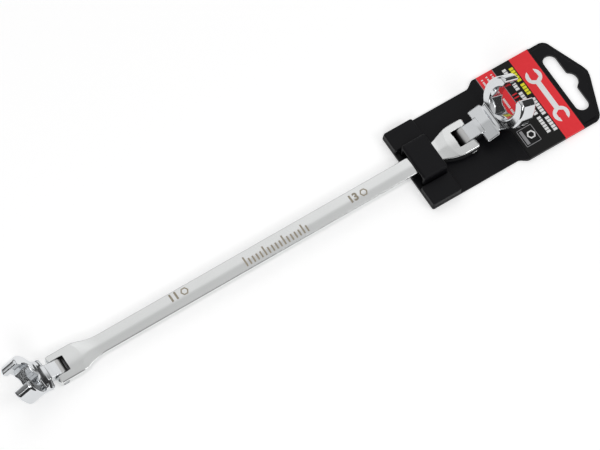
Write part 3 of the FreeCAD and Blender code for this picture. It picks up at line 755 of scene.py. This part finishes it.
def folded_film(name, start, end, low, high, inset, thickness):
    """A film that follows the label's outside, from start to end along the hanger."""
    outside = fold_line(inset, low, high)
    inside = fold_line(inset + thickness, low, high)
    ring = outside + inside[::-1]
    shape = bmesh.new()
    near = [shape.verts.new((start, across, up)) for across, up in ring]
    far = [shape.verts.new((end, across, up)) for across, up in ring]
    for one in range(len(ring)):
        after = (one + 1) % len(ring)
        shape.faces.new((near[one], near[after], far[after], far[one]))
    count = len(outside)
    for side in (near, far):
        for one in range(count - 1):
            shape.faces.new((side[one], side[one + 1], side[-2 - one], side[-1 - one]))
    return closed_piece(name, shape, HANGER)


def add_face(shape, corners):
    """Add one flat face."""
    return shape.faces.new([shape.verts.new((x, y, 0)) for x, y in corners])


def add_boxes(shape, boxes):
    """Add flat rectangles (x from, x to, y from, y to)."""
    for start, end, low, high in boxes:
        add_face(shape, [(start, low), (end, low), (end, high), (start, high)])


def printed(name, shape, steps_down, depth=INK_DEPTH):
    """Flat faces as ink on the label, its top some print steps below the panel's top."""
    top = PANEL_TOP - PRINT_STEP * steps_down
    return raise_faces(name, shape, HANGER, lambda x, y: (top - depth, top))


def words(first, along, counts):
    """Plain blocks in place of a line of print, with some letters in each word."""
    pitch = (along[1] - along[0]) * LETTER_PITCH
    boxes = []
    across = first
    for count in counts:
        for _ in range(count):
            boxes.append((*along, across - pitch * LETTER_WIDTH, across))
            across -= pitch
        across -= pitch * WORD_GAP
    return boxes


def number_faces(text, height):
    """Flat faces of a number in Blender's own font, standing on y = 0."""
    curve = bpy.data.curves.new("number", "FONT")
    curve.body = text
    curve.size = height / DIGIT_HEIGHT
    curve.offset = DIGIT_BOLDNESS * curve.size
    curve.resolution_u = 4
    carrier = link("number", curve)
    mesh = evaluated_mesh(carrier)
    bpy.data.objects.remove(carrier)
    bpy.data.curves.remove(curve)
    shape = bmesh.new()
    shape.from_mesh(mesh)
    bpy.data.meshes.remove(mesh)
    return shape


def hexagon(centre, radius):
    """Corners of a hexagon."""
    turns = [math.radians(60 * step) for step in range(6)]
    return [(centre[0] + radius * math.cos(turn), centre[1] + radius * math.sin(turn)) for turn in turns]


def add_hexagon(shape, centre, radius, width):
    """Add the six faces of a flat hexagonal ring."""
    outer = hexagon(centre, radius)
    inner = hexagon(centre, radius - width)
    for one in range(6):
        after = (one + 1) % 6
        add_face(shape, [outer[one], outer[after], inner[after], inner[one]])


def wrench_outline():
    """Outline of a plain double-ended wrench, lying along X."""
    radius, mouth = SIGN["radius"], SIGN["mouth"]
    start = math.pi - math.asin(SIGN["bar"] / 2 / radius)
    stop = math.asin(mouth / 2 / radius)
    turns = [start + (stop - start) * step / SIGN_STEPS for step in range(SIGN_STEPS + 1)]
    upper = [(radius * math.cos(turn), radius * math.sin(turn)) for turn in turns]
    inner = radius * SIGN["inner"]
    upper.append((inner - mouth / 2 / math.sqrt(3), mouth / 2))
    upper += [(inner * math.cos(turn), inner * math.sin(turn)) for turn in (math.pi / 3, math.pi * 2 / 3)]
    half = upper + [(-inner, 0.0)] + [(x, -y) for x, y in reversed(upper)]
    right = [(SIGN["length"] / 2 - radius + x, y) for x, y in half]
    return right + [(-x, -y) for x, y in right]


def crown_levels(x, y):
    """Lower and upper level of an etched mark on the shaft's crowned face."""
    top = SHAFT_THICKNESS / 2 - crown_drop(abs(y), CROWN_RADIUS)
    return top - ETCH_BELOW, top + ETCH_ABOVE


def etched(name, shape):
    """Flat faces as a thin mark that follows the crowned shaft."""
    for across in ETCH_CUTS:
        everything = shape.verts[:] + shape.edges[:] + shape.faces[:]
        bmesh.ops.bisect_plane(shape, geom=everything, plane_co=(0, across, 0), plane_no=(0, 1, 0))
    return raise_faces(name, shape, WRENCH, crown_levels)


def make_label_film():
    """The label's black film, folded down over the panel's long sides."""
    inset = PRINT_STEP * 2
    thickness = LABEL["thickness"] - inset
    return folded_film("label_film", LABEL["start"], LABEL["end"], None, None, inset, thickness)


def make_red_prints():
    """The stripe and the block, as thin films that fold down with the label."""
    thickness = PRINT_STEP * FILM_SHARE
    stripe = folded_film("print_stripe", *STRIPE, None, None, PRINT_STEP, thickness)
    block = folded_film("print_block", *BLOCK["along"], BLOCK["edge"], None, PRINT_STEP, thickness)
    return stripe, block


def make_wrench_sign():
    """White sign of a wrench across the stripe."""
    shape = bmesh.new()
    face = add_face(shape, [(SIGN["x"] + up, SIGN["y"] - over) for over, up in wrench_outline()])
    bmesh.ops.triangulate(shape, faces=[face])
    return printed("print_wrench_sign", shape, 0)


def make_words(name, lines, steps_down):
    """Plain blocks for some lines of print, as one piece."""
    shape = bmesh.new()
    for line in lines:
        add_boxes(shape, words(*line))
    return printed(name, shape, steps_down)


def make_badge():
    """Thin lines beside the block, and the badge's frame with a bar in it."""
    across = BLOCK["edge"], PANEL_HALF - LABEL["corner"]
    starts = BLOCK["along"][0] - BLOCK_LINES["before"], BLOCK["along"][1] + BLOCK_LINES["after"]
    boxes = [(start, start + BLOCK_LINES["width"], *across) for start in starts]
    start, end = BADGE["along"]
    left, right = BADGE["across"]
    line = BADGE["line"]
    boxes += [(start, start + line, left, right), (end - line, end, left, right)]
    boxes += [(start, end, left, left + line), (start, end, right - line, right)]
    start, left, right = start + BADGE["margin"], left + BADGE["margin"], right - BADGE["margin"]
    boxes.append((start, start + BADGE["bar"], left, right))
    shape = bmesh.new()
    add_boxes(shape, boxes)
    return printed("print_badge", shape, 1)


def make_nut_sign():
    """White nut in the badge."""
    shape = bmesh.new()
    add_hexagon(shape, NUT["centre"], NUT["radius"], NUT["width"])
    return printed("print_nut_sign", shape, 0, NUT["depth"])


def make_sizes_print():
    """The two sizes in red."""
    shape = number_faces(SIZES["text"], SIZES["height"])
    across = Matrix(((0, 1, 0, SIZES["x"]), (-1, 0, 0, SIZES["y"]), (0, 0, 1, 0), (0, 0, 0, 1)))
    shape.transform(across)
    return printed("print_sizes", shape, 1, SIZES["depth"])


def make_etched_size(text):
    """One size number with a nut sign beside it."""
    shape = number_faces(text, ETCHED_HEIGHT)
    add_hexagon(shape, ETCHED_NUT["centre"], ETCHED_NUT["radius"], ETCHED_NUT["width"])
    along, across = ETCHED_SIZES[text]
    bmesh.ops.translate(shape, verts=shape.verts[:], vec=(along, across, 0))
    return etched("etched_" + text, shape)


def make_etched_scale():
    """A plain scale of long and short ticks."""
    shape = bmesh.new()
    for step in range(TICKS["count"]):
        start = TICKS["start"] + TICKS["pitch"] * step
        high = TICKS["short"] if step % TICKS["every"] else TICKS["long"]
        add_boxes(shape, [(start, start + TICKS["width"], TICKS["low"], high)])
    return etched("etched_scale", shape)


# ---------------------------------------------------------------- materials

# specular level of the plastic and the inks, and how much an ink's roughness varies
SATIN_SPECULAR = 0.16
GLOSS_RANGE = 0.12


def new_material(name):
    """An empty node material with its shader."""
    material = bpy.data.materials.new(name)
    material.use_nodes = True
    shader = material.node_tree.nodes["Principled BSDF"]
    return material, material.node_tree, shader


def add_node(tree, kind, **values):
    """A shader node with some of its inputs or properties set."""
    node = tree.nodes.new(kind)
    for name, value in values.items():
        label = name.replace("_", " ")
        if label in node.inputs:
            node.inputs[label].default_value = value
        else:
            setattr(node, name, value)
    return node


def noise(tree, scale, detail, stretch=(1, 1, 1)):
    """Noise in the object's own space, in turns per metre, from 0 to 1."""
    place = add_node(tree, "ShaderNodeTexCoord")
    mapping = add_node(tree, "ShaderNodeMapping")
    mapping.inputs["Scale"].default_value = stretch
    texture = add_node(tree, "ShaderNodeTexNoise", Scale=scale, Detail=detail)
    tree.links.new(place.outputs["Object"], mapping.inputs["Vector"])
    tree.links.new(mapping.outputs["Vector"], texture.inputs["Vector"])
    return texture.outputs["Fac"]


def spread(tree, value, low, high):
    """Map a 0 to 1 value onto a range."""
    node = add_node(tree, "ShaderNodeMapRange")
    node.inputs["To Min"].default_value = low
    node.inputs["To Max"].default_value = high
    tree.links.new(value, node.inputs["Value"])
    return node.outputs["Result"]


def colour_mixer(tree, share):
    """A mix of two colours by a share: its two colour inputs and its output."""
    node = add_node(tree, "ShaderNodeMix", data_type="RGBA")
    tree.links.new(share, node.inputs["Factor"])
    first, second = [one for one in node.inputs if one.type == "RGBA"]
    mixed = next(one for one in node.outputs if one.type == "RGBA")
    return first, second, mixed


def colour_between(tree, share, one, other):
    """Mix two plain colours by a share."""
    first, second, mixed = colour_mixer(tree, share)
    first.default_value = (*one, 1)
    second.default_value = (*other, 1)
    return mixed


def add_bump(tree, shader, height, strength, distance):
    """Fine relief from a height value."""
    bump = add_node(tree, "ShaderNodeBump", Strength=strength, Distance=distance)
    tree.links.new(height, bump.inputs["Height"])
    tree.links.new(bump.outputs["Normal"], shader.inputs["Normal"])


def metal(name, dark, bright, smooth, rough, stretch, relief):
    """Plated or bare metal with polishing marks and slightly uneven gloss."""
    material, tree, shader = new_material(name)
    marks = noise(tree, scale=900.0, detail=4.0, stretch=stretch)
    clouds = noise(tree, scale=60.0, detail=2.0)
    shader.inputs["Metallic"].default_value = 1.0
    tree.links.new(colour_between(tree, clouds, dark, bright), shader.inputs["Base Color"])
    tree.links.new(spread(tree, marks, smooth, rough), shader.inputs["Roughness"])
    add_bump(tree, shader, marks, strength=relief, distance=0.00002)
    return material


def moulded_plastic(name, dark, bright, smooth, rough):
    """Satin black plastic with a fine moulded grain."""
    material, tree, shader = new_material(name)
    grain = noise(tree, scale=2600.0, detail=3.0)
    clouds = noise(tree, scale=45.0, detail=3.0)
    tree.links.new(colour_between(tree, clouds, dark, bright), shader.inputs["Base Color"])
    tree.links.new(spread(tree, clouds, smooth, rough), shader.inputs["Roughness"])
    shader.inputs["Specular IOR Level"].default_value = SATIN_SPECULAR
    add_bump(tree, shader, grain, strength=0.35, distance=0.00003)
    return material


def printed_film(name, first, second, gloss):
    """Printed ink on film, with a slight mottle."""
    material, tree, shader = new_material(name)
    mottle = noise(tree, scale=700.0, detail=3.0)
    ripple = noise(tree, scale=120.0, detail=2.0)
    tree.links.new(colour_between(tree, mottle, first, second), shader.inputs["Base Color"])
    tree.links.new(spread(tree, ripple, gloss, gloss + GLOSS_RANGE), shader.inputs["Roughness"])
    shader.inputs["Specular IOR Level"].default_value = SATIN_SPECULAR
    add_bump(tree, shader, ripple, strength=0.15, distance=0.0001)
    return material


def paint(piece, material):
    """Give a piece one material."""
    if piece.material_slots:
        for slot in piece.material_slots:
            slot.link = "OBJECT"
            slot.material = material
    else:
        piece.data.materials.append(material)


# ---------------------------------------------------------------- the object

chrome_shaft = metal(
    "chrome_shaft", dark=(0.74, 0.75, 0.745), bright=(0.79, 0.80, 0.80),
    smooth=0.10, rough=0.17, stretch=(0.05, 1, 1), relief=0.05,
)
chrome_head = metal(
    "chrome_head", dark=(0.64, 0.655, 0.67), bright=(0.72, 0.735, 0.75),
    smooth=0.05, rough=0.10, stretch=(1, 1, 1), relief=0.012,
)
turned_steel = metal(
    "turned_steel", dark=(0.50, 0.50, 0.50), bright=(0.66, 0.66, 0.65),
    smooth=0.25, rough=0.38, stretch=(1, 0.08, 1), relief=0.5,
)
# painted shade: near-black metal laid on the slots' walls and floor in place of the shadow inside them
slot_painted_shade = metal(
    "slot_painted_shade", dark=(0.015, 0.015, 0.016), bright=(0.03, 0.03, 0.032),
    smooth=0.4, rough=0.6, stretch=(1, 1, 1), relief=0.2,
)
pin_steel = metal(
    "pin_steel", dark=(0.42, 0.43, 0.44), bright=(0.55, 0.56, 0.57),
    smooth=0.22, rough=0.38, stretch=(1, 1, 1), relief=0.2,
)
black_plastic = moulded_plastic(
    "black_plastic", dark=(0.004, 0.004, 0.005), bright=(0.006, 0.006, 0.0075), smooth=0.36, rough=0.5
)
film_black = printed_film("film_black", (0.008, 0.008, 0.008), (0.011, 0.011, 0.011), gloss=0.3)
ink_red = printed_film("ink_red", (0.92, 0.038, 0.048), (0.97, 0.046, 0.058), gloss=0.3)
ink_white = printed_film("ink_white", (0.90, 0.90, 0.90), (0.96, 0.96, 0.96), gloss=0.35)
ink_yellow = printed_film("ink_yellow", (0.90, 0.84, 0.03), (0.95, 0.90, 0.05), gloss=0.35)
ink_silver = printed_film("ink_silver", (0.30, 0.30, 0.31), (0.42, 0.42, 0.43), gloss=0.3)
etch_tan = printed_film("etch_tan", (0.33, 0.29, 0.22), (0.46, 0.41, 0.33), gloss=0.45)


def fit(piece, material, body, node=None):
    """Give a piece its material, slot and body, and hide the node that it stands for."""
    paint(piece, material)
    if node:
        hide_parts(node)
    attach(piece, body)


def add_wrench():
    """The shaft, both heads, and the finish of the pins and washers."""
    shaft = make_handle()
    fit(shaft, chrome_shaft, "wrench", "handle")
    # the slots' walls and floor get painted shade
    second_finish(shaft, WRENCH, in_painted_slot_shade, slot_painted_shade)
    for size, body in (("13", "large_head"), ("11", "small_head")):
        head, place = make_head(size)
        fit(head, chrome_head, body, "head_" + size)
        second_finish(head, place, on_barrel, turned_steel)
        for node in ("pin_" + size, "washer_" + size + "_left", "washer_" + size + "_right"):
            paint(frame["nodes"][node], pin_steel)


def add_hanger():
    """The hanger, its clip and its printed label."""
    fit(make_tray(), black_plastic, "hanger", "hanger_tray")
    fit(make_clip(), black_plastic, "clip", "hanger_clip")
    fit(make_label_film(), film_black, "hanger", "hanger_label")
    for piece in make_red_prints():
        fit(piece, ink_red, "hanger")
    fit(make_wrench_sign(), ink_white, "hanger")
    fit(make_words("print_words_yellow", YELLOW_LINES, 1), ink_yellow, "hanger")
    fit(make_words("print_words_white", WHITE_LINES, 0), ink_white, "hanger")
    fit(make_badge(), ink_silver, "hanger")
    fit(make_nut_sign(), ink_white, "hanger")
    fit(make_sizes_print(), ink_red, "hanger")


def add_etched_marks():
    """The marks on the shaft."""
    for text in ETCHED_SIZES:
        fit(make_etched_size(text), etch_tan, "wrench")
    fit(make_etched_scale(), etch_tan, "wrench")


add_wrench()
add_hanger()
add_etched_marks()


# ---------------------------------------------------------------- floor, light and camera

# Surround: (height of the direction, grey level) in front of and behind the object, where along Y one
# gives way to the other, and where along X it gets brighter by WORLD_GAIN.
WORLD_FRONT = [(0.0, 0.03), (0.5, 0.06), (0.78, 0.5), (1.0, 0.66)]
WORLD_BACK = [(0.0, 0.05), (0.2, 0.12), (0.42, 0.85), (1.0, 0.86)]
WORLD_TURN = (0.24, 0.36)
WORLD_RIGHT = (0.12, 0.42)
WORLD_GAIN = 0.2

FLOOR_HALF = 3.0
FLOOR_GREY = 0.85
FLOOR_GLOW = 0.39

# soft boxes: place, spot aimed at, width, depth and power, in metres and watts
SOFT_BOXES = {
    "front_left_box": ((-0.9, -1.1, 1.1), (0.0, 0.0, 0.0), 0.9, 0.6, 5.8),
    "front_right_box": ((0.9, -1.1, 1.2), (0.05, 0.0, 0.0), 0.9, 0.6, 5.8),
}

LENS = 190.0
CAMERA_PLACE = (-0.3527, -0.4688, 1.2841)
CAMERA_RIGHT = Vector((0.8421, -0.5384, 0.0323))
CAMERA_UP = Vector((0.4785, 0.7733, 0.4159))


def make_floor():
    """Plain pale floor."""
    mesh = bpy.data.meshes.new("floor")
    half = FLOOR_HALF
    corners = [(-half, -half, 0), (half, -half, 0), (half, half, 0), (-half, half, 0)]
    mesh.from_pydata(corners, [], [(0, 1, 2, 3)])
    floor = link("floor", mesh)
    material, _, shader = new_material("floor")
    shader.inputs["Base Color"].default_value = (FLOOR_GREY, FLOOR_GREY, FLOOR_GREY, 1)
    shader.inputs["Emission Color"].default_value = (1, 1, 1, 1)
    shader.inputs["Emission Strength"].default_value = FLOOR_GLOW
    shader.inputs["Roughness"].default_value = 0.9
    shader.inputs["Specular IOR Level"].default_value = 0.0
    mesh.materials.append(material)


def make_soft_light(name, place, aim, width, depth, power):
    """A rectangular soft box that points at a spot."""
    light = bpy.data.lights.new(name, "AREA")
    light.shape = "RECTANGLE"
    light.size = width
    light.size_y = depth
    light.energy = power
    lamp = bpy.data.objects.new(name, light)
    lamp.location = place
    lamp.rotation_mode = "QUATERNION"
    lamp.rotation_quaternion = (Vector(aim) - Vector(place)).to_track_quat("-Z", "Y")
    bpy.context.scene.collection.objects.link(lamp)


def level_by_height(tree, height, stops):
    """Grey level that follows the height of the direction looked at."""
    ramp = add_node(tree, "ShaderNodeValToRGB")
    ramp.color_ramp.elements[0].position = stops[0][0]
    ramp.color_ramp.elements[1].position = stops[-1][0]
    for position, _ in stops[1:-1]:
        ramp.color_ramp.elements.new(position)
    for element, (_, level) in zip(ramp.color_ramp.elements, stops):
        element.color = (level, level, level, 1)
    tree.links.new(height, ramp.inputs["Fac"])
    return ramp.outputs["Color"]


def soft_ramp(tree, value, stretch, levels):
    """A value that eases from one level to another while its input crosses a stretch."""
    node = add_node(tree, "ShaderNodeMapRange", interpolation_type="SMOOTHSTEP")
    node.inputs["From Min"].default_value, node.inputs["From Max"].default_value = stretch
    node.inputs["To Min"].default_value, node.inputs["To Max"].default_value = levels
    tree.links.new(value, node.inputs["Value"])
    return node.outputs["Result"]


def make_world():
    """Soft studio surround: pale behind the object, greyer in front, dark low down."""
    world = bpy.data.worlds.new("studio")
    bpy.context.scene.world = world
    world.use_nodes = True
    tree = world.node_tree
    background = tree.nodes["Background"]
    place = add_node(tree, "ShaderNodeTexCoord")
    parts = add_node(tree, "ShaderNodeSeparateXYZ")
    tree.links.new(place.outputs["Generated"], parts.inputs["Vector"])
    front = level_by_height(tree, parts.outputs["Z"], WORLD_FRONT)
    back = level_by_height(tree, parts.outputs["Z"], WORLD_BACK)
    share = soft_ramp(tree, parts.outputs["Y"], WORLD_TURN, (0.0, 1.0))
    first, second, mixed = colour_mixer(tree, share)
    tree.links.new(front, first)
    tree.links.new(back, second)
    tree.links.new(mixed, background.inputs["Color"])
    strength = soft_ramp(tree, parts.outputs["X"], WORLD_RIGHT, (1.0, 1.0 + WORLD_GAIN))
    tree.links.new(strength, background.inputs["Strength"])


def make_camera():
    """Long lens from high on the wrench's right, over the 11 mm end."""
    lens = bpy.data.cameras.new("camera")
    lens.sensor_width = 36.0
    lens.lens = LENS
    lens.clip_start = 0.01
    lens.clip_end = 20.0
    camera = bpy.data.objects.new("camera", lens)
    turn = Matrix((CAMERA_RIGHT, CAMERA_UP, CAMERA_RIGHT.cross(CAMERA_UP))).transposed()
    camera.rotation_mode = "QUATERNION"
    camera.rotation_quaternion = turn.to_quaternion()
    camera.location = CAMERA_PLACE
    bpy.context.scene.collection.objects.link(camera)
    bpy.context.scene.camera = camera


make_floor()
make_world()
for name, values in SOFT_BOXES.items():
    make_soft_light(name, *values)
make_camera()
bpy.context.scene.view_settings.view_transform = "Standard"
